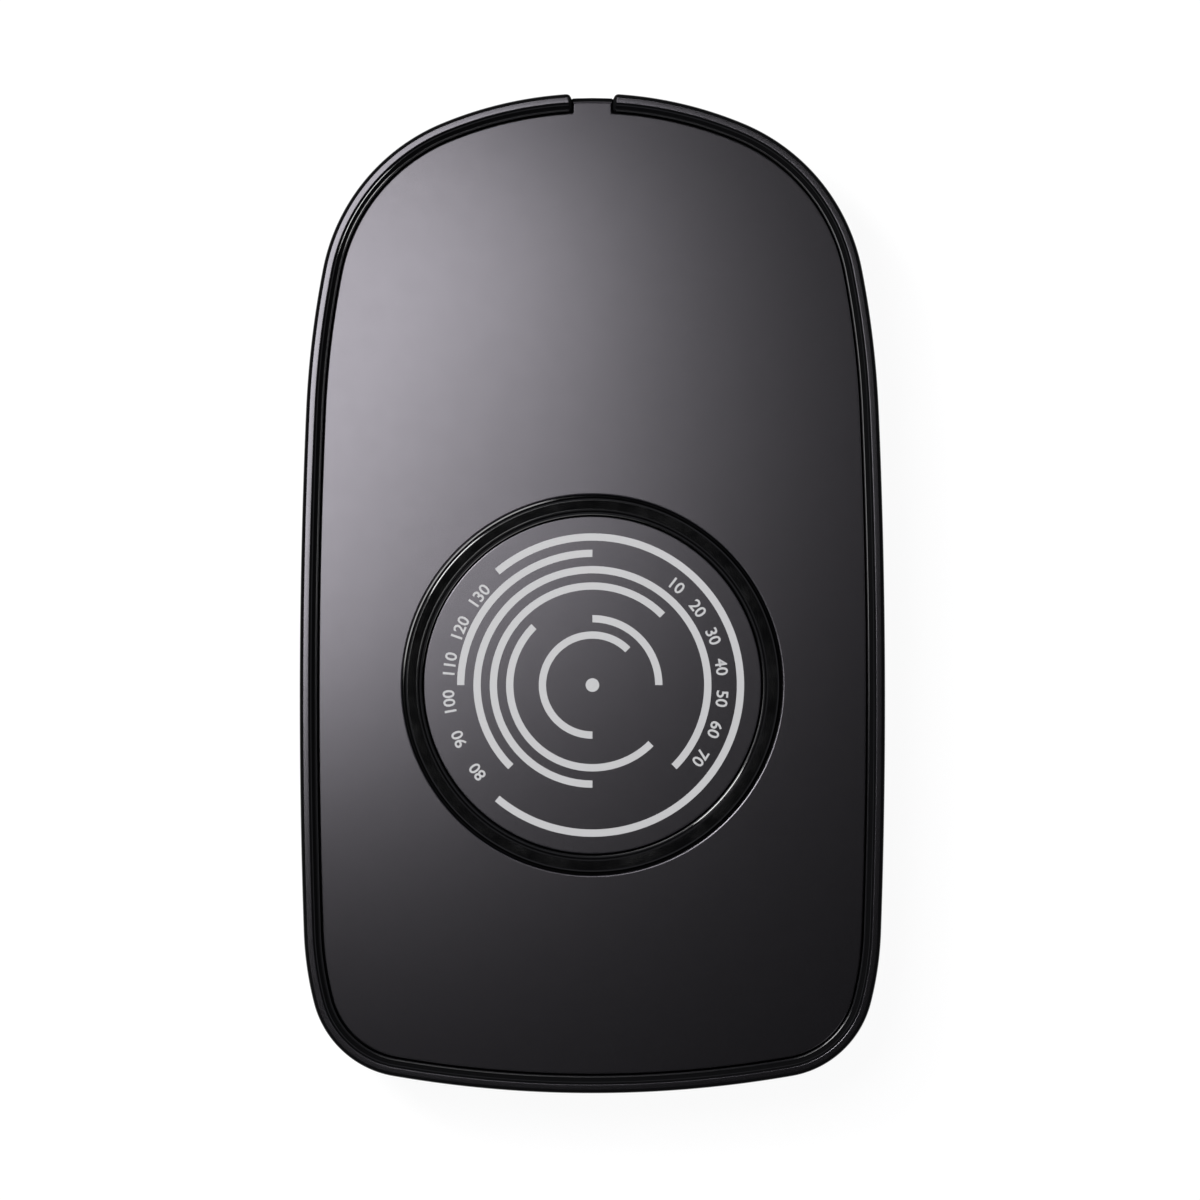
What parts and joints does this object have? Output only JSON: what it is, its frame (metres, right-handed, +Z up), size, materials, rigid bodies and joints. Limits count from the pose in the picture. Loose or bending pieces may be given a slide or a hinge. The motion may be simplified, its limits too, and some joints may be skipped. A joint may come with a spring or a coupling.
{
  "type": "mouse jiggler",
  "caption": "Slim tray for a computer mouse: a geared disc turns under the sensor inside a bezel, with a guard rim, a cable gap, a USB inlet and a side switch.",
  "frame": {"origin": "middle of the body's footprint at table level, on the feet's undersides", "axes": "+Y along the body towards the cable gap and the USB inlet, +Z up through the disc's face, +X to the right seen from above"},
  "size_m": [0.08, 0.1366, 0.015],
  "materials": {
    "gloss_black": "polished black plastic",
    "shell_black": "fine-textured black plastic",
    "satin_charcoal": "satin charcoal coating",
    "ink_grey": "printed light grey ink",
    "gear_white": "natural acetal",
    "steel": "plated steel",
    "brass": "turned brass",
    "copper": "copper",
    "magnet": "sintered ferrite",
    "black_plastic": "moulded",
    "circuit_green": "solder mask on glass laminate",
    "lead_red": "PVC insulation",
    "lead_black": "PVC insulation",
    "rubber": "soft rubber"
  },
  "bodies": {
    "housing": {"base_shell": "shell_black", "top_housing": "gloss_black", "top_plate": "satin_charcoal", "guard_rim": "gloss_black", "bezel_ring": "gloss_black", "turntable_pin": "steel", "thrust_washer": "steel", "retaining_washer": "steel", "retaining_screw": "steel", "first_gear_pin": "steel", "second_gear_pin": "steel", "motor_can": "steel", "motor_end_cap": "black_plastic", "motor_magnets": "magnet", "motor_brushes": "copper", "motor_bracket": "steel", "bracket_screws": "steel", "circuit_board": "circuit_green", "board_screws": "steel", "usb_shell": "steel", "usb_tongue": "black_plastic", "controller_chip": "black_plastic", "board_parts": "steel", "lead_headers": "gear_white", "motor_leads": "lead_red", "switch_leads": "lead_black", "switch_body": "steel", "rubber_feet": "rubber", "housing_screws": "steel"},
    "turntable": {"turntable_disc": "satin_charcoal", "disc_print": "ink_grey", "turntable_gear": "gear_white", "turntable_bush": "brass"},
    "second_gear": {"second_gear": "gear_white"},
    "first_gear": {"first_gear": "gear_white"},
    "motor_rotor": {"motor_shaft": "steel", "motor_armature": "steel", "motor_windings": "copper", "motor_commutator": "copper", "motor_pinion": "brass"},
    "switch_knob": {"switch_knob": "black_plastic"}
  },
  "joints": [
    {"name": "turntable_spin", "type": "hinge", "parent": "housing", "child": "turntable", "pos_m": [0, -0.0125, 0], "axis": [0, 0, 1], "continuous": true},
    {"name": "second_gear_spin", "type": "hinge", "parent": "housing", "child": "second_gear", "pos_m": [-0.00365, 0.00818, 0], "axis": [0, 0, 1], "continuous": true},
    {"name": "first_gear_spin", "type": "hinge", "parent": "housing", "child": "first_gear", "pos_m": [0.00859, 0.01389, 0], "axis": [0, 0, 1], "continuous": true},
    {"name": "motor_spin", "type": "hinge", "parent": "housing", "child": "motor_rotor", "pos_m": [0.02336, 0.01649, 0], "axis": [0, 0, 1], "continuous": true},
    {"name": "switch_slide", "type": "slide", "parent": "housing", "child": "switch_knob", "axis": [0, 1, 0], "range_m": [0, 0.002]}
  ],
  "couplings": [
    {"joint": "second_gear_spin", "follows": "turntable_spin", "ratio": -6},
    {"joint": "first_gear_spin", "follows": "turntable_spin", "ratio": 21},
    {"joint": "motor_spin", "follows": "turntable_spin", "ratio": -84}
  ]
}
